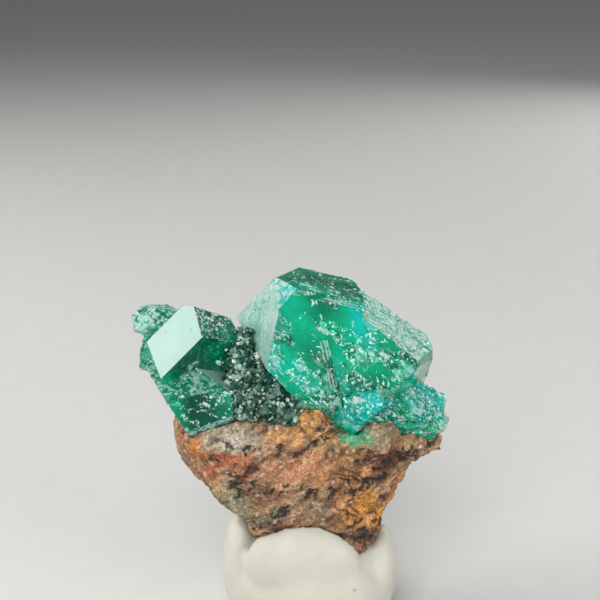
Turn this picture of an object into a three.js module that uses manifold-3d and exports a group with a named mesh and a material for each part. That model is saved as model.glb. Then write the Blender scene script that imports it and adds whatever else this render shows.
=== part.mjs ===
// A thumbnail dioptase specimen: two groups of green crystals and a crust of tiny ones, grown on
// a piece of brown rock that stands in a dab of white putty.
// Millimetres, +Z up, +X to the viewer's right and +Y away from the viewer.
// The origin is the middle of the putty's flat foot.
import * as THREE from "three";
import { ConvexGeometry } from "three/addons/geometries/ConvexGeometry.js";
import { mergeVertices } from "three/addons/utils/BufferGeometryUtils.js";
import Module from "manifold-3d";

const wasm = await Module();
wasm.setup();

const CLEARANCE = 0.05; // between pieces that touch

// A face is [azimuth, elevation, distance]: the way it looks in degrees, and how far it stands from
// its body's middle. Azimuth 0 looks to +X, 90 to +Y and -90 to the viewer. Elevation 90 looks up.

// The broad crystal has two blocks. Low down the right one stands forward of the left one.
const LEFT_BLOCK = {
  middle: [-0.5, 0, 22],
  faces: {
    frosted: [-155, 17, 5],
    front: [-89, 14, 5.84],
    frontTop: [-81, 25, 6.09],
    shoulder: [-118, 46, 7.14],
    top: [-14, 76, 6.35],
    topRight: [12, 25, 6.14],
    topLeft: [148, 62, 6.6],
    backLeft: [153, 47, 5.6],
    back: [64, 62, 6.55],
    backLow: [90, -10, 5.4],
    underLeft: [-175, -43, 1.87],
    underFront: [-92, -50, 5.69],
    foot: [-90, -90, 6],
    right: [0, 0, 4.5],
  },
};
const RIGHT_BLOCK = {
  middle: [5, 0, 21],
  faces: {
    front: [-81, 25, 5.75],
    band: [-20, 53, 4.38],
    end: [-22, 6, 4.86],
    endLow: [-28, -32, 3.38],
    side: [6, 0, 4.3],
    back: [44, 46, 4.03],
    backLow: [80, -8, 4.6],
    wall: [-163, -8, 4.5],
    top: [-14, 76, 5.95],
    backLeft: [150, 10, 4],
    under: [-76, -42, 4.6],
    foot: [-90, -90, 4.5],
  },
};

// The cleaved mass below them: a lobe, then chips that step down to the right
const LOBE = {
  middle: [3.5, -4.6, 19.6],
  faces: {
    front: [-83, 20, 2.75],
    left: [-160, -4, 1.9],
    lowLeft: [-140, -42, 2],
    lowRight: [-40, -42, 1.9],
    right: [0, 10, 2],
    top: [-90, 70, 2.2],
    back: [90, 0, 3],
    foot: [-90, -85, 2.9],
  },
};
const CHIPS = {
  first: [4.9, -4.3, 20.1],
  last: [8.7, -2.1, 17.2],
  count: 7,
  unevenness: 0.35,
  faces: {
    front: [-76, 22, 2.1],
    slope: [-28, 50, 1.15],
    end: [-12, -6, 1.25],
    low: [-70, -48, 1.6],
    left: [-165, 5, 1.6],
    back: [95, 10, 2.6],
    foot: [-80, -88, 2.2],
  },
};
const TRIANGLE = {
  middle: [2, -5.9, 20.7],
  faces: {
    front: [-90, -4, 0.8],
    left: [-150, 28, 0.5],
    right: [-30, 22, 0.5],
    back: [90, 0, 1],
    foot: [-90, -70, 0.75],
  },
};
const RIGHT_KNOB = { middle: [9.8, -1.9, 17.2], radii: [1, 1.1, 0.85], bump: 0.14 };

// The upper crystal of the left group, with the bright face
const UPPER_LEFT = {
  middle: [-9.5, -1.5, 23],
  faces: {
    bright: [-132, 34, 2.84],
    dark: [-57, -27, 2.71],
    top: [-30, 45, 3.76],
    left: [-169, -20, 2.68],
    upLeft: [164, 43, 2.51],
    back: [67, 62, 2.81],
    backLow: [95, -5, 3.6],
    right: [13, 26, 3.98],
    foot: [-90, -90, 5],
  },
};

// The lower crystal of the left group
const LOWER_LEFT = {
  middle: [-8.5, -2, 19],
  faces: {
    front: [-93, 18, 4.31],
    band: [-1, 65, 2.92],
    top: [-101, 48, 3.88],
    left: [-168, -32, 1.95],
    right: [6, 7, 2.28],
    farLeft: [180, -12, 3.6],
    under: [-100, -42, 3.88],
    underRight: [-60, -50, 3.1],
    back: [95, -5, 4],
    foot: [-90, -90, 3],
    backTop: [100, 60, 3.5],
  },
};

// A small crystal at the left edge
const EDGE_CRYSTAL = {
  middle: [-12.1, -2, 22.4],
  faces: {
    front: [-100, 5, 1],
    left: [178, 8, 1],
    frontLeft: [-140, -10, 0.95],
    top: [-150, 55, 1.2],
    right: [0, 0, 1.5],
    back: [90, 0, 2],
    foot: [-130, -62, 1],
  },
};

// The rounded knob of fine-grained green behind the left group
const LEFT_KNOB = { middle: [-12, 0.6, 24.6], radii: [1.95, 1.7, 1.35], bump: 0.12 };
const KNOB_DETAIL = 4;
const KNOB_WAVES = 3;

// The rock: broken faces, with its relief added on them
const ROCK = {
  middle: [0, 0, 13],
  detail: 8,
  edgeSharpness: 36,
  faces: {
    front: [-90, -10, 5.25],
    frontRight: [-52, -12, 7.2],
    frontLeft: [-138, -8, 9],
    left: [180, -6, 10.2],
    lowerLeft: [180, -52, 5.55],
    right: [0, 5, 10.6],
    lowerRight: [0, -28, 6.6],
    back: [90, -16, 5],
    backLeft: [140, -5, 8.4],
    backRight: [42, -5, 8],
    top: [0, 83, 4.96],
    foot: [-90, -90, 6.4],
  },
  lumps: { size: 3.2, height: 0.4 },
  grain: { size: 1.3, height: 0.2 },
  ledges: { along: [0.62, -0.2, 0.76], step: 1.1, height: 0.3, from: 1 },
};

// Rock that shows between the crystals' feet, and by the putty: [x, y, z, radius]
const ROCK_PEAKS = [
  [0.1, -5, 18.8, 1.7],
  [5.1, -5.4, 17.4, 1.6],
  [-3.2, -4.5, 17.5, 1.7],
  [-6, -4.4, 17.2, 1.6],
  [-8.4, -4, 16.9, 1.8],
  [7.2, -3.4, 16.3, 1.7],
  [8.8, -1.5, 15.6, 1.6],
  [2.4, -4, 16.2, 1.6],
  [-3.7, -3.4, 9.4, 1.3],
];
const PEAK_RELIEF = { waves: 2.3, height: 0.35 }; // both for a peak of radius 1

// The crust of tiny crystals in the hollow between the groups: [x, y, z, radius] of each lump
const CRUST_LUMPS = [
  [-5.3, -2.2, 24, 0.75],
  [-5.3, -3, 23, 0.95],
  [-5.3, -3.9, 21.9, 1.1],
  [-4.9, -4.7, 20.6, 1.4],
  [-3.5, -5.2, 20.5, 1.3],
  [-3.8, -3.9, 21.4, 1.2],
  [-2.4, -5.5, 19.5, 1.1],
  [-5.2, -5.2, 19.5, 1.1],
  [-1.3, -5.9, 19.5, 0.8],
];
const TINY_CRYSTAL = { length: 0.62, width: 0.36, perLump: 7, sizeSpread: 0.45, leanSpread: 0.5 };
const CRUST_LEAN = 0.9; // radians from straight up towards the viewer
const GOLDEN_ANGLE = 2.4; // radians

// The putty: [x, y, z] and radii of each pressed lump
const PUTTY_LUMPS = {
  body: { middle: [0, -0.2, 3.4], radii: [7.1, 6.5, 5.6] },
  frontLip: { middle: [-0.6, -4.4, 6.3], radii: [4.6, 1.9, 3.4] },
  leftLobe: { middle: [-5.5, -1.2, 5.6], radii: [1.45, 2.7, 4.3] },
  rightLobe: { middle: [5.6, -1.2, 4.8], radii: [1.5, 2.7, 3.3] },
  backLip: { middle: [0, 4.6, 5.4], radii: [4.8, 1.9, 3.2] },
};
const PUTTY_DETAIL = 4;

// A closed geometry as a solid, from its positions alone.
function solidOf(geometry) {
  const bare = geometry.clone();
  bare.deleteAttribute("normal");
  bare.deleteAttribute("uv");
  const merged = mergeVertices(bare, 1e-5);
  return new wasm.Manifold(
    new wasm.Mesh({
      numProp: 3,
      vertProperties: new Float32Array(merged.attributes.position.array),
      triVerts: new Uint32Array(merged.index.array),
    }),
  );
}

// A solid as a three.js geometry.
function geometryOf(solid) {
  const mesh = solid.getMesh();
  return new THREE.BufferGeometry()
    .setAttribute("position", new THREE.BufferAttribute(mesh.vertProperties, 3))
    .setIndex(new THREE.BufferAttribute(mesh.triVerts, 1));
}

const joined = (solids) => wasm.Manifold.union(solids);
const largest = (solid) => solid.decompose().sort((a, b) => b.volume() - a.volume())[0];

function directionOf(azimuth, elevation) {
  const a = THREE.MathUtils.degToRad(azimuth);
  const e = THREE.MathUtils.degToRad(elevation);
  return new THREE.Vector3(Math.cos(e) * Math.cos(a), Math.cos(e) * Math.sin(a), Math.sin(e));
}

const planesOf = (faces, room) =>
  Object.values(faces).map(([azimuth, elevation, distance]) => ({
    normal: directionOf(azimuth, elevation),
    distance: distance + room,
  }));

// The space inside a crystal's faces: each corner is where three faces meet.
// Room makes the body that much larger all round, to cut a neighbour with.
function crystal({ middle, faces }, room = 0) {
  const planes = planesOf(faces, room);
  const corners = [];
  for (let i = 0; i < planes.length; i++)
    for (let j = i + 1; j < planes.length; j++)
      for (let k = j + 1; k < planes.length; k++) {
        const [a, b, c] = [planes[i], planes[j], planes[k]];
        const rows = new THREE.Matrix3().set(...a.normal, ...b.normal, ...c.normal);
        if (Math.abs(rows.determinant()) < 1e-4) continue;
        const corner = new THREE.Vector3(a.distance, b.distance, c.distance).applyMatrix3(rows.invert());
        if (planes.every((p) => p.normal.dot(corner) < p.distance + 1e-6)) corners.push(corner);
      }
  return solidOf(new ConvexGeometry(corners)).translate(middle);
}

// Smooth noise from -1 to 1 that is the same in every run.
function noise(x, y, z) {
  const cell = [x, y, z].map(Math.floor);
  const part = [x, y, z].map((v, i) => v - cell[i]);
  const ease = part.map((t) => t * t * (3 - 2 * t));
  let sum = 0;
  for (let corner = 0; corner < 8; corner++) {
    const on = [corner & 1, (corner >> 1) & 1, (corner >> 2) & 1];
    const at = cell.map((c, i) => c + on[i]);
    const wave = Math.sin(at[0] * 127.1 + at[1] * 311.7 + at[2] * 74.7) * 43758.5453;
    const value = 2 * (wave - Math.floor(wave)) - 1;
    sum += value * on.reduce((w, o, i) => w * (o ? ease[i] : 1 - ease[i]), 1);
  }
  return sum;
}

// A ball whose every point is moved by a function of its direction.
function shapedBall(detail, placeOf) {
  const ball = new THREE.IcosahedronGeometry(1, detail);
  const places = ball.attributes.position;
  const way = new THREE.Vector3();
  for (let i = 0; i < places.count; i++) {
    way.fromBufferAttribute(places, i).normalize();
    places.setXYZ(i, ...placeOf(way));
  }
  return solidOf(ball);
}

const ellipsoid = ({ middle, radii }, detail) =>
  shapedBall(detail, (way) => way.toArray().map((w, i) => middle[i] + w * radii[i]));

function makeRock(room = 0) {
  const { middle, detail, edgeSharpness, lumps, grain, ledges } = ROCK;
  const planes = planesOf(ROCK.faces, room);
  const along = new THREE.Vector3(...ledges.along).normalize();
  const body = shapedBall(detail, (way) => {
    // where the way out of the middle meets the faces, with their edges a little worn
    const reaches = planes.map((p) => Math.max(p.normal.dot(way) / p.distance, 0) ** edgeSharpness);
    const reach = reaches.reduce((sum, r) => sum + r) ** (-1 / edgeSharpness);
    const place = way.clone().multiplyScalar(reach);
    const high = place.dot(along) / ledges.step;
    const terrace = place.x > ledges.from ? (high - Math.floor(high) - 0.5) * ledges.height : 0;
    const lump = noise(...place.toArray().map((v) => v / lumps.size)) * lumps.height;
    const crumb = noise(...place.toArray().map((v) => v / grain.size + 9)) * grain.height;
    place.addScaledVector(way, lump + crumb + terrace);
    return place.toArray().map((v, i) => v + middle[i]);
  });
  const peaks = ROCK_PEAKS.map(([x, y, z, radius]) =>
    shapedBall(1, (way) => {
      const spot = new THREE.Vector3(x, y, z).addScaledVector(way, PEAK_RELIEF.waves);
      const size = room + radius * (1 + PEAK_RELIEF.height * noise(...spot));
      return new THREE.Vector3(x, y, z).addScaledVector(way, size).toArray();
    }),
  );
  return joined([body, ...peaks]);
}

function makeChips(room) {
  const first = new THREE.Vector3(...CHIPS.first);
  const last = new THREE.Vector3(...CHIPS.last);
  return Array.from({ length: CHIPS.count }, (_, i) => {
    const middle = first.clone().lerp(last, i / (CHIPS.count - 1)).toArray();
    const shift = middle.map((v, axis) => v + CHIPS.unevenness * noise(i * 1.3, axis * 4.1, 2));
    return crystal({ middle: shift, faces: CHIPS.faces }, room);
  });
}

function makeKnob({ middle, radii, bump }, room) {
  return shapedBall(KNOB_DETAIL, (way) => {
    const size = 1 + bump * noise(...way.clone().multiplyScalar(KNOB_WAVES));
    return way.toArray().map((w, i) => middle[i] + w * (radii[i] * size + room));
  });
}

const makeMainCrystals = (room = 0) =>
  joined([
    ...[LEFT_BLOCK, RIGHT_BLOCK, LOBE, TRIANGLE].map((spec) => crystal(spec, room)),
    ...makeChips(room),
    makeKnob(RIGHT_KNOB, room),
  ]);
const makeLeftCrystals = (room = 0) =>
  joined([
    ...[UPPER_LEFT, LOWER_LEFT, EDGE_CRYSTAL].map((spec) => crystal(spec, room)),
    makeKnob(LEFT_KNOB, room),
  ]);

// A tiny six-sided crystal with a three-faced tip, standing on its middle along +Z.
function tinyCrystal(length, width) {
  const faces = { foot: [0, -90, length * 0.4] };
  for (let side = 0; side < 6; side++) faces["side" + side] = [side * 60, 0, width / 2];
  for (let tip = 0; tip < 3; tip++) faces["tip" + tip] = [tip * 120 + 30, 38, length * 0.5];
  return crystal({ middle: [0, 0, 0], faces });
}

// The crust: lumps of rock-green ground, each set with tiny crystals that look outwards.
function makeCrust() {
  const solids = [];
  const up = new THREE.Vector3(0, 0, 1);
  CRUST_LUMPS.forEach(([x, y, z, radius], lump) => {
    solids.push(ellipsoid({ middle: [x, y, z], radii: [radius, radius, radius] }, 1));
    for (let i = 0; i < TINY_CRYSTAL.perLump; i++) {
      // evenly spread over the half that looks at the viewer and up
      const lift = 1 - (1.1 * (i + 0.5)) / TINY_CRYSTAL.perLump;
      const turn = i * GOLDEN_ANGLE + lump;
      const ring = Math.sqrt(1 - lift * lift);
      const way = new THREE.Vector3(ring * Math.cos(turn), ring * Math.sin(turn), lift);
      way.applyAxisAngle(new THREE.Vector3(1, 0, 0), CRUST_LEAN);
      const tilt = new THREE.Vector3(noise(i, lump, 1), noise(i, lump, 2), noise(i, lump, 3));
      const axis = way.clone().addScaledVector(tilt, TINY_CRYSTAL.leanSpread).normalize();
      const size = 1 + TINY_CRYSTAL.sizeSpread * noise(i * 1.7, lump * 2.3, 5);
      const turned = new THREE.Matrix4()
        .makeRotationFromQuaternion(new THREE.Quaternion().setFromUnitVectors(up, axis))
        .setPosition(x + way.x * radius, y + way.y * radius, z + way.z * radius);
      const tiny = tinyCrystal(TINY_CRYSTAL.length * size, TINY_CRYSTAL.width * size);
      solids.push(tiny.transform(turned.elements));
    }
  });
  return joined(solids);
}

function makePutty() {
  const lumps = joined(Object.values(PUTTY_LUMPS).map((lump) => ellipsoid(lump, PUTTY_DETAIL)));
  const table = new THREE.BoxGeometry(40, 40, 20).translate(0, 0, -10);
  return lumps.subtract(solidOf(table));
}

const group = new THREE.Group();
function addPiece(name, solid, color, roughness) {
  const material = new THREE.MeshStandardMaterial({ color, roughness, metalness: 0 });
  const mesh = new THREE.Mesh(geometryOf(largest(solid)), material);
  mesh.name = name;
  group.add(mesh);
}

const mainRoom = makeMainCrystals(CLEARANCE);
const leftRoom = makeLeftCrystals(CLEARANCE);
const rock = makeRock().subtract(mainRoom).subtract(leftRoom);
const crust = makeCrust().subtract(makeRock(CLEARANCE)).subtract(mainRoom).subtract(leftRoom);
const putty = makePutty().subtract(makeRock(CLEARANCE));

addPiece("matrix", rock, 0x9a6f4a, 0.85);
addPiece("main_crystals", makeMainCrystals(), 0x0a9a74, 0.12);
addPiece("left_crystals", makeLeftCrystals().subtract(mainRoom), 0x08755a, 0.12);
addPiece("druse", crust, 0x1c5c44, 0.25);
addPiece("putty", putty, 0xe9e8e0, 0.6);

export default group;
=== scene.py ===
# Dioptase specimen: crystals, crust, rock and putty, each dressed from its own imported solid
import itertools
import math

import bmesh
import bpy
import numpy as np
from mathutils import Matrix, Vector
from mathutils.bvhtree import BVHTree


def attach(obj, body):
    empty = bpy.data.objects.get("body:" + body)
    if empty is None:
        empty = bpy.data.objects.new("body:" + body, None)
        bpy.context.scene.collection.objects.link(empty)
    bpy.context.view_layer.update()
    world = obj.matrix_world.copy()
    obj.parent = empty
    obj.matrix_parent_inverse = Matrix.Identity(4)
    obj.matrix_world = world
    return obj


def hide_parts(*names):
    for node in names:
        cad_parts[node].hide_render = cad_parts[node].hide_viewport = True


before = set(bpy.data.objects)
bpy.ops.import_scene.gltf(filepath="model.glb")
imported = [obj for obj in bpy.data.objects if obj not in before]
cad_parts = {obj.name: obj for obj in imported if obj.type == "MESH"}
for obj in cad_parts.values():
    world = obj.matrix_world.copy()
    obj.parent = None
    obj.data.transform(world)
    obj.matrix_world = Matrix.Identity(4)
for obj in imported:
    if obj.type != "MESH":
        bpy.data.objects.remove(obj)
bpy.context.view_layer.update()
mm = 0.001


def linear(red, green, blue):
    # a colour as read off a screen, 0 to 255, as the light values that nodes take
    parts = [c / 255 for c in (red, green, blue)]
    return [c / 12.92 if c < 0.04045 else ((c + 0.055) / 1.055) ** 2.4 for c in parts]


# Noise in numpy. Points are in metres, grain sizes in mm.

def cellNumber(cell, seed):
    # a fixed number from 0 to 1 for each cell
    c = cell.astype(np.uint64)
    h = c[:, 0] * np.uint64(374761393) + c[:, 1] * np.uint64(668265263) + c[:, 2] * np.uint64(1274126177)
    h = (h + np.uint64(seed * 974711)) & np.uint64(0xFFFFFFFF)
    for shift in (13, 16):
        h = ((h ^ (h >> np.uint64(shift))) * np.uint64(2654435769)) & np.uint64(0xFFFFFFFF)
    return (h ^ (h >> np.uint64(15))) / 4294967295.0


def smoothNoise(points, grain, seed=0):
    p = points / (grain * mm) + 31.7 + seed * 7.13
    cell = np.floor(p).astype(np.int64)
    f = p - cell
    f = f * f * (3 - 2 * f)
    total = np.zeros(len(p))
    for corner in itertools.product((0, 1), repeat=3):
        weight = np.prod(np.where(np.array(corner) == 1, f, 1 - f), axis=1)
        total += weight * (2 * cellNumber(cell + np.array(corner), seed) - 1)
    return total


def fractal(points, grain, octaves=4, seed=0):
    total = np.zeros(len(points))
    for octave in range(octaves):
        total += smoothNoise(points, grain / 2 ** octave, seed + octave) / 2 ** octave
    return total


def grains(points, grain, seed=0):
    # how far the nearest and the next grain's middles are, in grain sizes,
    # and the nearest one's number and place
    p = points / (grain * mm) + 17.3
    cell = np.floor(p).astype(np.int64)
    near = np.full(len(p), 9.0)
    second = near.copy()
    number, nearest = np.zeros(len(p)), np.zeros_like(p)
    for step in itertools.product((-1, 0, 1), repeat=3):
        other = cell + np.array(step)
        middle = other + np.stack([cellNumber(other, seed + k) for k in range(3)], axis=1)
        far = np.linalg.norm(p - middle, axis=1)
        second = np.where(far < near, near, np.minimum(second, far))
        number = np.where(far < near, cellNumber(other, seed + 5), number)
        nearest = np.where((far < near)[:, None], middle, nearest)
        near = np.minimum(near, far)
    return near, second, number, (nearest - 17.3) * grain * mm


def ramp(x, low, high):
    t = np.clip((x - low) / (high - low), 0, 1)
    return t * t * (3 - 2 * t)


def stretched(points, along, times):
    # grains made from these points are that many times longer along the direction
    way = np.array(along) / np.linalg.norm(along)
    return points + np.outer(points @ way, way) * (1 / times - 1)


# Meshes as arrays

def arraysOf(mesh):
    mesh.calc_loop_triangles()
    places = np.zeros(len(mesh.vertices) * 3)
    mesh.vertices.foreach_get("co", places)
    corners = np.zeros(len(mesh.loop_triangles) * 3, np.int64)
    mesh.loop_triangles.foreach_get("vertices", corners)
    return places.reshape(-1, 3), corners.reshape(-1, 3)


def vertexNormals(places, triangles):
    a, b, c = (places[triangles[:, k]] for k in range(3))
    faceNormals = np.cross(b - a, c - a)
    total = np.zeros_like(places)
    for k in range(3):
        np.add.at(total, triangles[:, k], faceNormals)
    return total / np.maximum(np.linalg.norm(total, axis=1, keepdims=True), 1e-15)


def addPiece(name, places, faces, material, node, smooth=True):
    mesh = bpy.data.meshes.new(name)
    mesh.from_pydata(places.tolist(), [], faces.tolist() if hasattr(faces, "tolist") else faces)
    mesh.validate()
    mesh.polygons.foreach_set("use_smooth", [smooth] * len(mesh.polygons))
    piece = bpy.data.objects.new(name, mesh)
    bpy.context.scene.collection.objects.link(piece)
    mesh.materials.append(material)
    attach(piece, "root")
    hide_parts(node)
    return piece


def addValues(piece, name, values):
    attribute = piece.data.attributes.new(name, "FLOAT", "POINT")
    attribute.data.foreach_set("value", values.astype(np.float32))


def addColours(piece, name, colours):
    attribute = piece.data.color_attributes.new(name, "FLOAT_COLOR", "POINT")
    full = np.concatenate([colours, np.ones((len(colours), 1))], axis=1)
    attribute.data.foreach_set("color", full.astype(np.float32).ravel())


def treeOf(node):
    places, triangles = arraysOf(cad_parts[node].data)
    return BVHTree.FromPolygons(places.tolist(), triangles.tolist())


def roomBefore(places, nodes, reach):
    # how far each point is from other solids, up to reach, in metres
    room = np.full(len(places), reach)
    for tree in [treeOf(node) for node in nodes]:
        for i, place in enumerate(places):
            hit = tree.find_nearest(place, reach)
            if hit[3] is not None:
                room[i] = min(room[i], hit[3])
    return room


def remeshed(node, voxel):
    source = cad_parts[node]
    copy = bpy.data.objects.new(node + "Copy", source.data.copy())
    bpy.context.scene.collection.objects.link(copy)
    modifier = copy.modifiers.new("remesh", "REMESH")
    modifier.mode = "VOXEL"
    modifier.voxel_size = voxel * mm
    done = copy.evaluated_get(bpy.context.evaluated_depsgraph_get())
    mesh = bpy.data.meshes.new_from_object(done)
    arrays = arraysOf(mesh)
    bpy.data.objects.remove(copy)
    bpy.data.meshes.remove(mesh)
    return arrays


def smoothed(places, triangles, rounds, amount):
    edges = np.concatenate([triangles[:, [0, 1]], triangles[:, [1, 2]], triangles[:, [2, 0]]])
    count = np.maximum(np.bincount(edges[:, 0], minlength=len(places)), 1)[:, None]
    for _ in range(rounds):
        total = np.zeros_like(places)
        np.add.at(total, edges[:, 0], places[edges[:, 1]])
        places = places + amount[:, None] * (total / count - places)
    return places


# Materials

class NodeBook:
    # short ways to add nodes to one material
    def __init__(self, name):
        self.material = bpy.data.materials.new(name)
        self.material.use_nodes = True
        self.tree = self.material.node_tree
        self.shader = self.tree.nodes["Principled BSDF"]
        self.place = self.add("ShaderNodeTexCoord").outputs["Object"]

    def add(self, kind, **settings):
        node = self.tree.nodes.new(kind)
        for key, value in settings.items():
            setattr(node, key, value)
        return node

    def link(self, output, socket):
        self.tree.links.new(output, socket)

    def noise(self, grain, detail=3.0, roughness=0.55):
        node = self.add("ShaderNodeTexNoise")
        node.inputs["Scale"].default_value = 1 / (grain * mm)
        node.inputs["Detail"].default_value = detail
        node.inputs["Roughness"].default_value = roughness
        self.link(self.place, node.inputs["Vector"])
        return node.outputs["Fac"]

    def attribute(self, name, output="Fac"):
        return self.add("ShaderNodeAttribute", attribute_name=name).outputs[output]

    def mapped(self, value, low, high, outLow, outHigh):
        node = self.add("ShaderNodeMapRange", clamp=True)
        for key, number in (("From Min", low), ("From Max", high), ("To Min", outLow), ("To Max", outHigh)):
            node.inputs[key].default_value = number
        self.link(value, node.inputs["Value"])
        return node.outputs["Result"]

    def mixed(self, share, first, second, blend="MIX"):
        node = self.add("ShaderNodeMix", data_type="RGBA", blend_type=blend)
        for socket, value in ((node.inputs[0], share), (node.inputs[6], first), (node.inputs[7], second)):
            if isinstance(value, (int, float)):
                socket.default_value = value
            elif isinstance(value, (list, tuple)):
                socket.default_value = (*value, 1)
            else:
                self.link(value, socket)
        return node.outputs[2]

    def maths(self, operation, first, second):
        node = self.add("ShaderNodeMath", operation=operation)
        for socket, value in zip(node.inputs, (first, second)):
            if isinstance(value, (int, float)):
                socket.default_value = value
            else:
                self.link(value, socket)
        return node.outputs[0]

    def facets(self, size, tilt):
        # the surface's normal, leaning another way in each small cell
        cells = self.add("ShaderNodeTexVoronoi")
        cells.inputs["Scale"].default_value = 1 / (size * mm)
        self.link(self.place, cells.inputs["Vector"])
        lean = self.add("ShaderNodeVectorMath", operation="SUBTRACT")
        self.link(cells.outputs["Color"], lean.inputs[0])
        lean.inputs[1].default_value = (0.5, 0.5, 0.5)
        scaled = self.add("ShaderNodeVectorMath", operation="SCALE")
        self.link(lean.outputs[0], scaled.inputs[0])
        self.link(tilt, scaled.inputs["Scale"])
        total = self.add("ShaderNodeVectorMath", operation="ADD")
        self.link(self.add("ShaderNodeNewGeometry").outputs["Normal"], total.inputs[0])
        self.link(scaled.outputs[0], total.inputs[1])
        unit = self.add("ShaderNodeVectorMath", operation="NORMALIZE")
        self.link(total.outputs[0], unit.inputs[0])
        return unit.outputs[0]

    def bump(self, height, depth, strength=1.0, normal=None):
        node = self.add("ShaderNodeBump")
        node.inputs["Distance"].default_value = depth * mm
        if isinstance(strength, (int, float)):
            node.inputs["Strength"].default_value = strength
        else:
            self.link(strength, node.inputs["Strength"])
        self.link(height, node.inputs["Height"])
        if normal is not None:
            self.link(normal, node.inputs["Normal"])
        return node.outputs["Normal"]

    def use(self, **sockets):
        names = {"colour": "Base Color", "roughness": "Roughness", "normal": "Normal",
                 "transmission": "Transmission Weight", "ior": "IOR", "subsurface": "Subsurface Weight"}
        for key, value in sockets.items():
            socket = self.shader.inputs[names[key]]
            if isinstance(value, (int, float)):
                socket.default_value = value
            elif isinstance(value, (list, tuple)):
                socket.default_value = (*value, 1)
            else:
                self.link(value, socket)


crystalFinish = {
    "deep": linear(0, 96, 74),
    "emerald": linear(0, 208, 158),
    "turquoise": linear(0, 232, 228),
    "frost": linear(218, 244, 240),
    "transmission": 0.6,
    "ior": 1.66,
    "absorbColour": linear(25, 222, 192),
    "absorbDensity": 130,
    "glassRoughness": 0.04,
    "frostRoughness": 0.42,
    "facetSize": 0.2,
    "facetTilt": 0.8,
}


def makeCrystalFinish():
    look = crystalFinish
    book = NodeBook("dioptase")
    frost, tint = book.attribute("frost"), book.attribute("tint")
    body = book.mixed(book.mapped(tint, 0, 1, 0, 1), look["emerald"], look["turquoise"])
    body = book.mixed(book.mapped(tint, 0, -1, 0, 1), body, look["deep"])
    body = book.mixed(book.mapped(book.noise(2.4), 0.4, 0.7, 0.0, 0.5), body, look["deep"])
    tilt = book.maths("MULTIPLY", book.attribute("shatter"), look["facetTilt"])
    book.use(
        colour=book.mixed(book.mapped(frost, 0.3, 0.95, 0, 1), body, look["frost"]),
        roughness=book.mapped(frost, 0.05, 0.9, look["glassRoughness"], look["frostRoughness"]),
        normal=book.bump(book.noise(0.09, 2.0), 0.02, book.mapped(frost, 0.05, 0.8, 0.03, 0.5),
                         book.facets(look["facetSize"], tilt)),
        transmission=look["transmission"],
        ior=look["ior"],
    )
    absorb = book.add("ShaderNodeVolumeAbsorption")
    absorb.inputs["Color"].default_value = (*look["absorbColour"], 1)
    absorb.inputs["Density"].default_value = look["absorbDensity"]
    book.link(absorb.outputs[0], book.tree.nodes["Material Output"].inputs["Volume"])
    return book.material


crustFinish = {
    "dark": linear(0, 74, 54),
    # near white, a painted glint on a few tiny crystals
    "light": linear(196, 238, 216),
    "transmission": 0.35,
    "ior": 1.66,
    "roughness": 0.1,
}


def makeCrustFinish():
    look = crustFinish
    book = NodeBook("tinyDioptase")
    book.use(
        colour=book.mixed(book.attribute("shade"), look["dark"], look["light"]),
        roughness=book.mapped(book.noise(0.2), 0.3, 0.7, look["roughness"] * 0.6, look["roughness"] * 2),
        transmission=look["transmission"],
        ior=look["ior"],
    )
    return book.material


rockFinish = {"crumb": linear(118, 106, 96), "plain": linear(255, 252, 246), "speck": linear(40, 30, 25)}


def makeRockFinish():
    look = rockFinish
    book = NodeBook("brownRock")
    stone = book.attribute("stone", "Color")
    fine = book.noise(0.2, 5.0, 0.7)
    tone = book.mixed(book.mapped(fine, 0.3, 0.7, 0.0, 1.0), look["crumb"], look["plain"])
    colour = book.mixed(1.0, stone, tone, "MULTIPLY")
    speck = book.mapped(book.noise(0.16, 2.0), 0.64, 0.7, 0.0, 0.75)
    book.use(
        colour=book.mixed(speck, colour, look["speck"]),
        roughness=book.mapped(fine, 0.3, 0.7, 0.95, 0.5),
        normal=book.bump(fine, 0.1, 0.8),
    )
    return book.material


puttyFinish = {
    "light": linear(186, 185, 173),
    "shade": linear(174, 172, 158),
    "dust": linear(196, 186, 164),
    # brown for the dirt specks and for the painted shade next to the rock
    "dirtAndShade": linear(120, 84, 48),
    "subsurface": 0.25,
    "subsurfaceRadius": (0.0012, 0.001, 0.0008),
}


def makePuttyFinish():
    look = puttyFinish
    book = NodeBook("whitePutty")
    cloud = book.noise(2.5)
    dust = book.mapped(book.noise(0.5, 4.0), 0.66, 0.74, 0.0, 0.5)
    colour = book.mixed(cloud, look["light"], look["shade"])
    colour = book.mixed(dust, colour, look["dust"])
    colour = book.mixed(book.attribute("dirtAndShade"), colour, look["dirtAndShade"])
    book.use(
        colour=colour,
        roughness=book.mapped(cloud, 0.3, 0.7, 0.42, 0.6),
        normal=book.bump(book.noise(0.35, 4.0), 0.05, 0.35),
        subsurface=look["subsurface"],
    )
    book.shader.inputs["Subsurface Radius"].default_value = look["subsurfaceRadius"]
    return book.material
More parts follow.
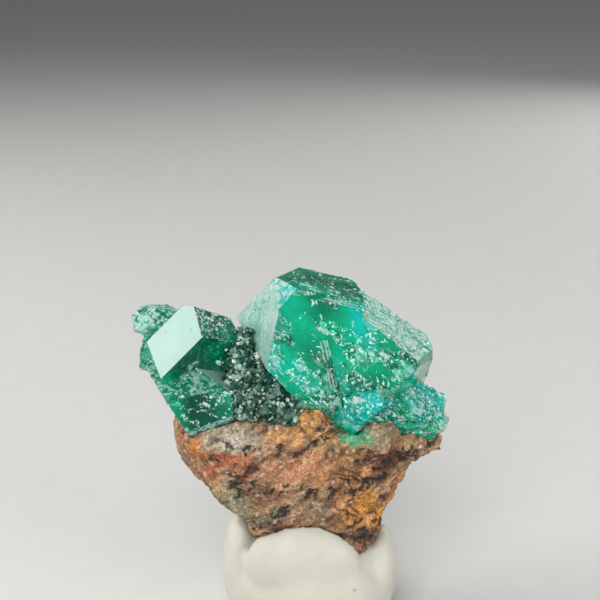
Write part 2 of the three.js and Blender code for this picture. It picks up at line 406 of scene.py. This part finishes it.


# The crystals' faces: where each one looks, in degrees, how its surface is, and for a glassy one the
# share of it that is etched at its top and at its foot, and how much deeper its colour is, a painted shade.
# glassy is clear with thin etched flakes, frosted is etched all over, tiled is frosted in blocks,
# blocky is turquoise with white blocks, flaky is cleaved in steps, speckled is dark with pale growths,
# satin is even, ridged and granular are rough.
faceLooks = {
    "main_crystals": {
        "left": ((-155, 17), "frosted"),
        "front": ((-89, 14), "glassy", (-0.05, 1.1)),
        "rightFront": ((-81, 25), "glassy", (-0.2, 0.9)),
        "shoulder": ((-118, 46), "blocky"),
        "top": ((-14, 76), "speckled"),
        "topRight": ((12, 25), "speckled"),
        "topLeft": ((148, 62), "frosted"),
        "backLeft": ((153, 47), "frosted"),
        "back": ((64, 62), "speckled"),
        "backLow": ((90, -10), "glassy", (0.2, 0.4)),
        "band": ((-20, 53), "tiled"),
        "end": ((-22, 6), "glassy", (-0.2, 0.1)),
        "endLow": ((-28, -32), "glassy", (0.0, 0.1)),
        "side": ((6, 0), "glassy", (0.1, 0.2)),
        "rightBack": ((44, 46), "tiled"),
        "rightBackLow": ((80, -8), "glassy", (0.2, 0.4)),
        "wall": ((-163, -8), "flaky"),
        "lobeFront": ((-83, 20), "flaky"),
        "lobeLeft": ((-160, -4), "flaky"),
        "lobeLowLeft": ((-140, -42), "flaky"),
        "lobeLowRight": ((-40, -42), "flaky"),
        "lobeTop": ((-90, 70), "flaky"),
        "chipFront": ((-76, 22), "flaky"),
        "chipSlope": ((-28, 50), "flaky"),
        "chipEnd": ((-12, -6), "flaky"),
        "chipLow": ((-70, -48), "flaky"),
        "triangle": ((-90, -4), "satin"),
    },
    "left_crystals": {
        "bright": ((-132, 34), "satin"),
        "dark": ((-57, -27), "glassy", (0.05, 0.0), 0.2),
        "top": ((-30, 45), "speckled", (0, 0), 0.5),
        "left": ((-169, -20), "glassy", (0.3, 0.3)),
        "upLeft": ((164, 43), "granular"),
        "back": ((67, 62), "speckled"),
        "right": ((13, 26), "frosted"),
        "lowFront": ((-93, 18), "glassy", (-0.1, 0.2), 0.7),
        "lowBand": ((-1, 65), "satin"),
        "lowTop": ((-101, 48), "ridged"),
        "lowLeft": ((-168, -32), "granular"),
        "lowRight": ((6, 7), "glassy", (0.1, 0.2)),
        "farLeft": ((180, -12), "granular"),
        "edgeFront": ((-100, 5), "glassy", (0.4, 0.2)),
        "edgeLeft": ((-140, -10), "glassy", (0.3, 0.3)),
        "edgeTop": ((-150, 55), "glassy", (0.5, 0.5)),
    },
}
# Faces that are etched more beside one of their edges: where that edge's other face looks,
# and how far in it goes, in mm
etchedEdges = {"front": ((-155, 17), 1.4), "rightFront": ((-20, 53), 1.0)}
# The longest edges in mm, fine on faces that look to the fine side and are above the rock
crystalMesh = {
    "fineEdge": {"main_crystals": 0.13, "left_crystals": 0.11},
    "fineSide": (0, -0.966, 0.259),
    "fineAbove": 16.5,
    "coarseEdge": 0.25,
    "wornEdge": 0.03,
    "matchAngle": 2.9,
    "weld": 0.03,
}

# Growth lines on the broad crystal: beside which plane, from and to how far, and how far apart, in mm
growthLines = {
    "cleft": {"looks": (-163, -8), "from": (5, 0, 21), "band": (4.5, 5.3), "pitch": 0.24},
    "topEdge": {"looks": (-14, 76), "from": (-0.5, 0, 22), "band": (5.85, 6.3), "pitch": 0.16},
}


def wayOf(azimuth, elevation):
    a, e = math.radians(azimuth), math.radians(elevation)
    return np.array([math.cos(e) * math.cos(a), math.cos(e) * math.sin(a), math.sin(e)])


def flakesOf(p, size, seed, along=(0.75, 0, -0.66), times=2.0):
    # straight-edged flakes: each one's number and middle, the point's way in from its rim, and its slope
    q = stretched(p, along, times)
    near, second, number, middle = grains(q, size, seed)
    lean = np.stack([np.modf(number * 57.3)[0], np.modf(number * 131.7)[0]], axis=1) - 0.5
    slope = ((q - middle)[:, [0, 2]] * lean).sum(axis=1) / (size * mm)
    return number, middle, second - near, slope


def glassyFace(p, cover):
    bent = p + 0.16 * mm * np.stack([smoothNoise(p, 0.5, s) for s in (84, 85, 86)], axis=1)
    number, middle, _, slope = flakesOf(bent, 0.7, 31)
    gather = fractal(middle, 2.0, 2, 33)
    patch = ramp(0.8 * number + 0.7 * gather + 0.2 * smoothNoise(p, 0.25, 88), 0.96 - cover, 1.08 - cover)
    small, smallMiddle, _, smallSlope = flakesOf(bent, 0.27, 35, times=2.6)
    shade = np.modf(small * 37.7)[0]
    fleck = 1.0 * (small + 0.6 * fractal(smallMiddle, 1.5, 2, 37) > 1.3 - 0.6 * cover)
    grit = 0.5 + 0.5 * smoothNoise(p, 0.13, 87)
    height = patch * (0.03 + 0.12 * slope + 0.06 * small + 0.03 * smallSlope) + 0.02 * fleck + 0.03 * gather
    frost = np.maximum(patch * (0.04 + 0.65 * small * shade + 0.2 * grit), 0.6 * fleck * grit)
    streaky = stretched(p, (0.5, 0, -0.86), 2.5)
    wisp = ramp(np.abs(fractal(streaky, 1.8, 2, 90)), 0.08, 0.0)
    veil = 0.7 * fractal(streaky, 2.4, 3, 39) + 0.3 * np.maximum(cover, 0) + 0.4 * wisp - 0.28
    return height, frost + 0.02, veil + patch * (1.5 * shade - 0.7), 0.1 + 0.7 * np.maximum(patch, fleck)


def frostedFace(p):
    number, _, rim, slope = flakesOf(p, 1.0, 11, (0.25, 0.1, 0.95), 2.2)
    near, _, pitNumber, _ = grains(p, 0.42, 13)
    pit = ramp(near, 0.4, 0.15) * (pitNumber > 0.9)
    streak = smoothNoise(stretched(p, (0.35, 0, 0.93), 6), 0.3, 15)
    height = 0.03 * number + 0.05 * slope - 0.06 * pit + 0.012 * smoothNoise(p, 0.25, 17)
    frost = 0.76 + 0.12 * number + 0.14 * streak - 0.5 * pit - 0.2 * ramp(rim, 0.06, 0.01)
    return height, frost, 0.1 + 0.3 * streak, 0.3 + 0 * near


def blockyFace(p):
    number, _, rim, slope = flakesOf(p, 0.7, 21, (1, 0, 0.2), 1.3)
    block = ramp(rim, 0.04, 0.12) * (number > 0.3)
    return 0.07 * block + 0.12 * slope, 0.38 + 0.5 * block, 1 + 0 * number, 0.25 + 0 * number


def tiledFace(p):
    number, middle, rim, slope = flakesOf(p, 0.48, 61, (0.8, 0, -0.6), 1.3)
    tile = ramp(rim, 0.02, 0.2)
    near, _, pitNumber, _ = grains(p, 0.3, 63)
    pit = ramp(near, 0.42, 0.15) * (pitNumber > 0.7)
    clear = 1.0 * (number + 0.5 * fractal(middle, 1.6, 2, 65) < 0.12)
    height = 0.06 * tile + 0.12 * slope - 0.05 * pit
    frost = (0.36 + 0.16 * tile + 0.4 * number - 0.4 * pit) * (1 - 0.7 * clear)
    return height, frost, 0.5 - 0.4 * tile, 0.45 + 0 * near


def speckledFace(p):
    number, middle, _, slope = flakesOf(p, 0.3, 51, (0.9, -0.3, 0.1), 1.6)
    gather = fractal(middle, 1.7, 3, 53)
    spot = 1.0 * (number + 0.75 * gather > 1.06)
    height = 0.07 * spot + 0.1 * slope + 0.05 * gather
    return height, 0.03 + spot * (0.3 + 0.45 * number), 0.6 * gather + 0.9 * spot - 0.3, 0.5 + 0 * number


def flakyFace(p):
    along = (0.77, 0.1, -0.63)
    number, middle, rim, slope = flakesOf(p, 0.85, 41, along, 2.4)
    level = np.floor(3.2 * fractal(middle, 1.7, 2, 43))
    small, _, smallRim, smallSlope = flakesOf(p, 0.34, 45, along, 1.7)
    height = 0.1 * level + 0.3 * slope + 0.1 * smallSlope + 0.07 * small
    # painted glints: a few flakes, and the rims of the large flakes, made pale
    bright = 1.0 * (small > 0.86)
    frost = 0.04 + 0.66 * bright + 0.22 * ramp(rim, 0.08, 0.02) + 0.12 * number
    # turquoise rims on the small flakes: a painted edge highlight
    tint = np.clip(1.25 * number - 0.15, -0.3, 1) + 0.3 * ramp(smallRim, 0.1, 0.02)
    return height, frost, tint, 0.7 + 0 * number


def satinFace(p):
    near, _, number, _ = grains(p, 0.3, 67)
    speck = ramp(near, 0.4, 0.2) * (number > 0.97)
    height = 0.008 * smoothNoise(p, 0.25, 69) - 0.02 * speck
    return height, 0.83 + 0.1 * fractal(p, 1.3, 4, 68) - 0.35 * speck, 0 * near, 0.08 + 0 * near


def ridgedFace(p):
    number, middle, rim, slope = flakesOf(p, 0.24, 73, (0.88, -0.2, -0.42), 1.7)
    high = number + 0.5 * fractal(middle, 1.1, 3, 75)
    frost = 0.75 * ramp(high, 0.35, 0.8) * (0.75 + 0.25 * smoothNoise(p, 0.14, 74))
    return 0.16 * high + 0.2 * slope - 0.05 * ramp(rim, 0.1, 0.0), frost, 0.5 * frost - 0.5, 0.8 + 0 * high


def granularFace(p):
    near, _, number, middle = grains(p, 0.32, 71)
    pit = 1.0 * (number + 0.5 * fractal(middle, 1.2, 2, 77) < 0.12)
    height = 0.14 * (0.55 - near) + 0.07 * (number - 0.5) - 0.15 * pit
    frost = 0.62 + 0.36 * number - 0.75 * ramp(near, 0.45, 0.85) - 0.6 * pit
    return height, frost, 0.15 - 0.6 * pit, 0.45 + 0 * near


faceMakers = {
    "glassy": glassyFace, "frosted": frostedFace, "blocky": blockyFace, "tiled": tiledFace,
    "speckled": speckledFace, "flaky": flakyFace, "satin": satinFace, "ridged": ridgedFace,
    "granular": granularFace,
}


def growthLineOf(p):
    # 1 on a line, 0 elsewhere
    line = np.zeros(len(p))
    for rows in growthLines.values():
        far = (p / mm - np.array(rows["from"])) @ wayOf(*rows["looks"])
        low, high = rows["band"]
        broken = ramp(smoothNoise(p, 1.1, 81) + 0.6 * smoothNoise(p, 0.4, 83), -0.3, 0.1)
        inBand = ramp(far, low, low + 0.08) * ramp(far, high, high - 0.08)
        line = np.maximum(line, inBand * broken * ramp(np.cos(far / rows["pitch"] * 6.2832), 0.0, 0.5))
    return line


def cleftGlowAndShade(p):
    # painted light and shade at the cleft between the blocks: a turquoise glow to its right, and deep green
    # shade to its left
    rows = growthLines["cleft"]
    far = (p / mm - np.array(rows["from"])) @ wayOf(*rows["looks"]) - rows["band"][0]
    beside = np.where(far < 0, 0.75 * ramp(far, -1.2, -0.1), -0.7 * ramp(far, 1.4, 0.2))
    return beside * ramp(p[:, 2], 24.2 * mm, 22.6 * mm)


def splitMesh(node, ways):
    # the node's solid with its long edges split, and for each triangle the number of the face it lies in
    bm = bmesh.new()
    bm.from_mesh(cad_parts[node].data)
    bmesh.ops.dissolve_degenerate(bm, edges=bm.edges, dist=crystalMesh["weld"] * mm)
    bm.normal_update()
    layer = bm.faces.layers.int.new("face")
    for face in bm.faces:
        fit = ways @ np.array(face.normal)
        best = int(np.argmax(fit))
        face[layer] = best if fit[best] > math.cos(math.radians(crystalMesh["matchAngle"])) else len(ways)
    fineSide = Vector(crystalMesh["fineSide"])
    for _ in range(9):
        longEdges = []
        for edge in bm.edges:
            high = (edge.verts[0].co.z + edge.verts[1].co.z) / 2 > crystalMesh["fineAbove"] * mm
            fine = high and any(face.normal.dot(fineSide) > 0.02 for face in edge.link_faces)
            limit = crystalMesh["fineEdge"][node] if fine else crystalMesh["coarseEdge"]
            if edge.calc_length() > limit * mm:
                longEdges.append(edge)
        if not longEdges:
            break
        bmesh.ops.subdivide_edges(bm, edges=longEdges, cuts=1)
        bmesh.ops.triangulate(bm, faces=[f for f in bm.faces if len(f.verts) > 3])
        bm.normal_update()
    bm.verts.index_update()
    places = np.array([v.co for v in bm.verts])
    triangles = np.array([[v.index for v in f.verts] for f in bm.faces])
    faceNumbers = np.array([f[layer] for f in bm.faces])
    bm.free()
    return places, triangles, faceNumbers


def dressCrystals(node, material):
    looks = dict(faceLooks[node])
    places, triangles, faceNumbers = splitMesh(node, np.array([wayOf(*look[0]) for look in looks.values()]))
    looks["other"] = (None, "granular")
    # how flat the surface is round each point: 1 inside a face, less on an edge
    a, b, c = (places[triangles[:, k]] for k in range(3))
    triNormals = np.cross(b - a, c - a)
    areas = np.linalg.norm(triNormals, axis=1)
    total, weight = np.zeros_like(places), np.zeros(len(places))
    for k in range(3):
        np.add.at(total, triangles[:, k], triNormals)
        np.add.at(weight, triangles[:, k], areas)
    flat = np.linalg.norm(total, axis=1) / np.maximum(weight, 1e-20)
    normals = total / np.maximum(np.linalg.norm(total, axis=1, keepdims=True), 1e-20)
    inside = ramp(flat, 0.97, 0.998)
    faceAt = np.zeros(len(places), int)
    for k in range(3):
        faceAt[triangles[:, k]] = faceNumbers
    height, frost, tint, shatter = np.zeros((4, len(places)))
    for number, (name, look) in enumerate(looks.items()):
        mine = faceAt == number
        if not mine.any():
            continue
        p = places[mine]
        top, foot = look[2] if len(look) > 2 else (0, 0)
        high = (p[:, 2] - p[:, 2].min()) / max(np.ptp(p[:, 2]), 1e-9)
        cover = foot + (top - foot) * high
        if name in etchedEdges:
            way, reach = etchedEdges[name]
            along = p / mm @ wayOf(*way)
            cover += 0.55 * ramp(along.max() - along, reach, 0)
        makeFace = faceMakers[look[1]]
        values = makeFace(p, cover) if makeFace is glassyFace else makeFace(p)
        height[mine], frost[mine], tint[mine], shatter[mine] = values
        # painted shade: the colour of the faces listed with a fourth value made deeper
        if len(look) > 3:
            tint[mine] -= look[3]
        if node == "main_crystals" and look[1] == "glassy":
            line = growthLineOf(p)
            height[mine] += 0.03 * line
            frost[mine] = np.maximum(frost[mine], 0.85 * line)
            # painted turquoise glow and deep green shade beside the cleft
            tint[mine] += cleftGlowAndShade(p)
    wear = crystalMesh["wornEdge"] * (1 + 0.8 * smoothNoise(places, 0.7, 5)) * (1 - ramp(flat, 0.9, 0.99))
    # chips along the worn edges: paler frost, and turquoise as a painted edge highlight
    chipFrostAndHighlight = (1 - ramp(flat, 0.93, 0.995)) * ramp(smoothNoise(places, 0.5, 7), -0.1, 0.3)
    places = places + normals * ((height * inside - wear) * mm)[:, None]
    piece = addPiece(node + "Dressed", places, triangles, material, node)
    piece.data.set_sharp_from_angle(angle=math.radians(28))
    addValues(piece, "frost", np.clip(frost + 0.3 * chipFrostAndHighlight, 0, 1))
    # the chips' turquoise is a painted edge highlight
    addValues(piece, "tint", np.clip(tint + 0.8 * chipFrostAndHighlight, -1, 1))
    addValues(piece, "shatter", np.clip(shatter, 0, 1))
    print("crystals", node, len(triangles), "triangles")


# The crust: the solid's own crystals, and smaller ones grown between them
crust = {"count": 620, "length": (0.28, 0.66), "slimness": (0.55, 0.85), "tilt": 0.5, "seed": 12}


def tinyCrystal(length, width):
    # six sides and a tip of three faces
    turn = np.arange(6) * math.pi / 3
    ring = np.stack([np.cos(turn), np.sin(turn)], axis=1) * width / 2
    drop = np.where(np.arange(6) % 2 == 0, 0.0, width * 0.22)
    low = np.column_stack([ring, np.full(6, -0.3 * length)])
    high = np.column_stack([ring, length * 0.75 - drop])
    points = np.vstack([low, high, [[0, 0, length]]])
    sides = [[i, (i + 1) % 6, 6 + (i + 1) % 6, 6 + i] for i in range(6)]
    tips = [[12, 6 + i, 6 + (i + 1) % 6, 6 + (i + 2) % 6] for i in (0, 2, 4)]
    return points, sides + tips + [[5, 4, 3, 2, 1, 0]]


def frameFor(axis, spin):
    side = np.cross(axis, [0.3, 0.5, 0.81])
    side /= np.linalg.norm(side)
    other = np.cross(axis, side)
    return np.stack([side * math.cos(spin) + other * math.sin(spin),
                     other * math.cos(spin) - side * math.sin(spin), axis])


def scatterOn(places, triangles, count, draw, keep):
    # points spread by area over the faces that keep says yes to
    a, b, c = (places[triangles[:, k]] for k in range(3))
    normals = np.cross(b - a, c - a)
    areas = np.linalg.norm(normals, axis=1)
    normals /= np.maximum(areas, 1e-20)[:, None]
    share = areas * keep(normals, (a + b + c) / 3)
    chosen = draw.choice(len(triangles), count, p=share / share.sum())
    u, v = draw.random(count), draw.random(count)
    over = u + v > 1
    u[over], v[over] = 1 - u[over], 1 - v[over]
    spots = a[chosen] + (b - a)[chosen] * u[:, None] + (c - a)[chosen] * v[:, None]
    return spots, normals[chosen]


def dressCrust(material):
    draw = np.random.default_rng(crust["seed"])
    places, triangles = arraysOf(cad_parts["druse"].data)
    allPlaces, allFaces = [places], triangles.tolist()
    shade = [0.25 + 0.25 * smoothNoise(places, 0.8, 2)]
    start = len(places)
    spots, normals = scatterOn(places, triangles, crust["count"], draw,
                               lambda n, m: (n[:, 1] < 0.35) & (n[:, 2] > -0.6))
    for spot, normal in zip(spots, normals):
        axis = normal + crust["tilt"] * draw.normal(size=3)
        axis /= np.linalg.norm(axis)
        length = draw.uniform(*crust["length"]) * mm
        points, faces = tinyCrystal(length, length * draw.uniform(*crust["slimness"]))
        allPlaces.append(points @ frameFor(axis, draw.uniform(0, 6.28)) + spot)
        allFaces += [[start + i for i in face] for face in faces]
        # mostly dark, and near white on a few tiny crystals as painted glints
        shade.append(np.full(len(points), draw.uniform(0, 1) ** 4))
        start += len(points)
    piece = addPiece("druseDressed", np.vstack(allPlaces), allFaces, material, "druse",
                     smooth=False)
    addValues(piece, "shade", np.clip(np.concatenate(shade), 0, 1))
    print("crust", len(piece.data.polygons), "faces")


# The rock's colours: where each patch is, how far it reaches in mm, and its colour.
# Dark spots have one size.
rock = {
    "voxel": 0.115,
    "ground": [linear(190, 142, 96), linear(172, 120, 86), linear(178, 160, 128)],
    "patches": {
        "ochrePeak": ((0.4, -6.5, 18.8), (1.9, 3, 1.7), linear(228, 172, 104)),
        "leftOrange": ((-8.9, -5.5, 16.5), (1.5, 3, 1.6), linear(228, 150, 76)),
        "greySugar": ((-5.5, -6, 17.1), (2.1, 3, 1.5), linear(200, 194, 178)),
        "midOchre": ((-2.3, -6, 17.4), (1.7, 3, 1.2), linear(214, 164, 112)),
        "pinkBand": ((-6.2, -5.3, 14.9), (2.4, 3, 0.7), linear(190, 110, 76)),
        "pinkMiddle": ((-1.6, -5.7, 14.9), (3.2, 3, 1.4), linear(196, 138, 102)),
        "tanMiddle": ((2.2, -5.5, 14), (3, 3, 2), linear(190, 136, 88)),
        "rightBrown": ((6.3, -5, 15.6), (2.4, 3, 1), linear(124, 70, 38)),
        "rightTan": ((8.8, -3.8, 16.1), (1.4, 3, 1), linear(222, 184, 140)),
        "lowGreen": ((-5.7, -5, 11.8), (1.9, 3, 1.2), linear(148, 146, 116)),
        "lowGrey": ((-2.9, -5, 10.2), (1.6, 3, 0.9), linear(150, 140, 112)),
        "lowTan": ((-3.6, -5, 12.7), (2.2, 3, 1), linear(166, 122, 90)),
        "ochreLedges": ((4.8, -4.8, 11), (2.2, 3, 1.8), linear(206, 144, 60)),
        "darkFoot": ((0.5, -4, 8.5), (6, 5, 0.6), linear(100, 74, 50)),
        # painted green glow on the rock where the crystals stand on it
        "greenGlow": ((3.3, -6, 17.1), (1.3, 2, 0.8), linear(98, 184, 142)),
    },
    "darkSpots": [
        ((-1, -5.9, 16.4), 0.75), ((0.8, -5.9, 16.9), 0.5), ((6.6, -5, 15.7), 1.1), ((4.6, -5.1, 13.5), 0.8),
        ((-2.3, -5.4, 12.7), 0.6), ((-0.1, -5.3, 13), 0.55),
        ((-1.9, -5, 10.6), 0.6), ((1.5, -5.2, 11.5), 0.5),
        ((2.4, -5.2, 12.6), 0.6), ((-4, -6, 16.4), 0.45), ((0.6, -6.6, 18.2), 0.4), ((-5.4, -5.3, 13.3), 0.5),
        ((5.6, -4, 9.6), 0.7), ((4.2, -4.9, 11.6), 0.45), ((2.6, -4.9, 9.4), 0.6),
        ((5.6, -6.5, 17.6), 0.4), ((-3.9, -4.8, 9.3), 0.5),
        ((5.2, -4.6, 10.5), 0.45), ((3.8, -4.8, 10.2), 0.4), ((5.9, -4.4, 11.9), 0.45),
    ],
    "black": linear(34, 27, 24),
    "pale": linear(236, 224, 206),
    "streak": (0.82, 0.1, 0.56),
    "ledge": {"along": (0.45, -0.2, 0.87), "step": 1.0, "height": 0.4},
    "mostOut": 0.14,
}


def rockRelief(p):
    # height in mm: broken facets, crumbs, and ledges on the right, and the painted shade low in each ledge's
    # step
    q = stretched(p, rock["streak"], 1.5)
    _, _, _, slope = flakesOf(p, 1.5, 3, rock["streak"], 1.3)
    _, _, _, smallSlope = flakesOf(p, 0.6, 7, rock["streak"], 1.4)
    height = 0.22 * fractal(q, 2.1, 3, 1) + 0.3 * slope + 0.16 * smallSlope + 0.07 * fractal(p, 0.35, 2, 9)
    ledge = rock["ledge"]
    bed = p @ np.array(ledge["along"]) / (ledge["step"] * mm) + 1.1 * fractal(p, 1.8, 3, 15)
    onRight = ramp(p[:, 0], 0, 3 * mm) * ramp(p[:, 2], 16 * mm, 13.5 * mm)
    onRight = onRight * ramp(fractal(p, 2.4, 2, 17), -0.5, 0.1)
    part = bed - np.floor(bed)
    rise = part * ramp(part, 1.0, 0.85) - 0.5
    return height + onRight * ledge["height"] * rise, onRight * ramp(part, 0.48, 0.15)


def rockColours(p, creviceShade):
    tint = np.clip(0.5 + 0.9 * np.stack([fractal(p, 2.6, 3, s) for s in (18, 19, 27)], axis=1), 0.02, 1) ** 2
    colour = (tint / tint.sum(axis=1, keepdims=True)) @ np.array(rock["ground"])
    waver = np.stack([fractal(p, 1.3, 3, s) for s in (20, 22, 24)], axis=1) * 0.9
    for middle, reach, shade in rock["patches"].values():
        gone = (p / mm + waver - np.array(middle)) / np.array(reach)
        share = ramp(np.exp(-0.8 * (gone ** 2).sum(axis=1)), 0.12, 0.85)
        colour += (np.array(shade) - colour) * share[:, None]
    streaks = fractal(stretched(p, rock["streak"], 4), 0.5, 3, 26)
    _, _, number, _ = grains(p, 0.28, 29)
    colour *= np.clip(0.92 + 0.6 * streaks + 0.55 * (number - 0.5), 0.25, 1.7)[:, None]
    colour += (np.array(rock["pale"]) - colour) * (0.4 * (number > 0.93))[:, None]
    ragged = 1.5 * fractal(stretched(p, rock["streak"], 1.6), 0.6, 4, 28)
    dark = ramp(fractal(stretched(p, rock["streak"], 1.6), 1.3, 4, 30), 0.62, 0.8)
    for middle, size in rock["darkSpots"]:
        far = np.linalg.norm((p / mm - np.array(middle)) * (0.8, 0.6, 1.3), axis=1) / size
        dark = np.maximum(dark, ramp(far + ragged, 0.9, 0.6))
    grainy = ramp(number, 0.3, 0.5)
    # black spots, and painted shade in the ledges' crevices
    dark = np.clip(np.maximum(dark * grainy, 0.85 * creviceShade), 0, 0.95)
    return colour + (np.array(rock["black"]) - colour) * dark[:, None], dark


def dressRock(material):
    places, triangles = remeshed("matrix", rock["voxel"])
    normals = vertexNormals(places, triangles)
    room = roomBefore(places, ("main_crystals", "left_crystals", "druse", "putty"), 0.5 * mm) / mm
    height, creviceShade = rockRelief(places)
    colour, dark = rockColours(places, creviceShade)
    height = np.minimum(np.minimum(height, rock["mostOut"]) - 0.12 * dark, room - 0.06)
    height = np.where(room < 0.2, np.minimum(height, 0), height)
    places = places + normals * (height * mm)[:, None]
    piece = addPiece("matrixDressed", places, triangles, material, "matrix")
    addColours(piece, "stone", np.clip(colour, 0, 1))
    print("rock", len(triangles), "triangles")


# The putty, with its joins kneaded together, and specks of dirt: where in mm, and how wide
putty = {
    "voxel": 0.2,
    "kneading": 14,
    "specks": [
        ((-2.6, -6.2, 3.2), 0.35), ((-1.4, -6.3, 2.6), 0.5),
        ((0.9, -6.4, 3.9), 0.12), ((3.4, -5.6, 4.6), 0.14),
    ],
}


def dressPutty(material):
    places, triangles = remeshed("putty", putty["voxel"])
    room = roomBefore(places, ("matrix",), 0.6 * mm) / mm
    loose = ramp(room, 0.05, 0.5) * ramp(places[:, 2], 0.2 * mm, 1.2 * mm)
    places = smoothed(places, triangles, putty["kneading"], 0.55 * loose)
    normals = vertexNormals(places, triangles)
    height = 0.1 * fractal(places, 3.2, 2, 1) + 0.035 * fractal(places, 0.9, 3, 4)
    ridge = stretched(places, (0.9, 0.1, 0.4), 5)
    height += 0.012 * np.sin(ridge[:, 2] / (0.06 * mm)) * ramp(fractal(places, 2.5, 2, 9), 0.1, 0.5)
    places = places + normals * (height * loose * mm)[:, None]
    dirtAndShade = np.zeros(len(places))
    for middle, wide in putty["specks"]:
        far = np.linalg.norm((places / mm - np.array(middle)) * (1, 0.5, 2.2), axis=1)
        dirtAndShade = np.maximum(dirtAndShade, ramp(far + 0.5 * wide * smoothNoise(places, 0.3, 6), wide * 1.3, wide * 0.5))
    # painted shade: darker brown where the putty lies close under the rock
    dirtAndShade = np.maximum(dirtAndShade, 0.35 * ramp(room, 0.35, 0.1) * ramp(fractal(places, 0.6, 3, 8), -0.2, 0.5))
    piece = addPiece("puttyDressed", places, triangles, material, "putty")
    addValues(piece, "dirtAndShade", dirtAndShade)
    print("putty", len(triangles), "triangles")


crystalMaterial = makeCrystalFinish()
dressCrystals("main_crystals", crystalMaterial)
dressCrystals("left_crystals", crystalMaterial)
dressCrust(makeCrustFinish())
dressRock(makeRockFinish())
dressPutty(makePuttyFinish())

# The floor, the light and the camera
studio = {
    "floorSize": 4.0,
    "floorColour": linear(206, 205, 201),
    "floorShade": linear(198, 197, 193),
    "world": (0.17, 0.175, 0.18),
    "lights": {
        "leftSoftbox": ((-0.27, 0.03, 0.17), 0.3, 1.05),
        "topFront": ((-0.055, -0.3, 0.235), 0.2, 1.15),
        "backRight": ((0.2, 0.28, 0.15), 0.2, 0.4),
        "lowRight": ((0.26, -0.24, 0.05), 0.2, 0.9),
    },
    "aim": (0, 0, 0.018),
    "camera": (-0.0008, -0.1052, 0.0547),
    "lens": 84,
    "lookDown": 15,
}


def makeFloor():
    book = NodeBook("paleFloor")
    cloud = book.mapped(book.noise(4.0, 2.0), 0.3, 0.7, 0, 0.3)
    book.use(colour=book.mixed(cloud, studio["floorColour"], studio["floorShade"]), roughness=0.65)
    half = studio["floorSize"] / 2
    mesh = bpy.data.meshes.new("floor")
    corners = [(-half, -half, 0), (half, -half, 0), (half, half, 0), (-half, half, 0)]
    mesh.from_pydata(corners, [], [(0, 1, 2, 3)])
    floor = bpy.data.objects.new("floor", mesh)
    bpy.context.scene.collection.objects.link(floor)
    mesh.materials.append(book.material)


def makeLights():
    world = bpy.data.worlds.new("softStudio")
    world.use_nodes = True
    world.node_tree.nodes["Background"].inputs["Color"].default_value = (*studio["world"], 1)
    bpy.context.scene.world = world
    for name, (place, size, watts) in studio["lights"].items():
        light = bpy.data.lights.new(name, "AREA")
        light.shape = "SQUARE"
        light.size = size
        light.energy = watts
        lamp = bpy.data.objects.new(name, light)
        lamp.location = place
        lamp.rotation_euler = (Vector(studio["aim"]) - Vector(place)).to_track_quat("-Z", "Y").to_euler()
        lamp.visible_camera = False
        bpy.context.scene.collection.objects.link(lamp)


def makeCamera():
    camera = bpy.data.cameras.new("camera")
    camera.lens = studio["lens"]
    camera.sensor_width = 36
    camera.clip_start = 0.001
    holder = bpy.data.objects.new("camera", camera)
    holder.location = studio["camera"]
    holder.rotation_euler = (math.radians(90 - studio["lookDown"]), 0, 0)
    bpy.context.scene.collection.objects.link(holder)
    bpy.context.scene.camera = holder


makeFloor()
makeLights()
makeCamera()
bpy.context.scene.view_settings.view_transform = "Standard"
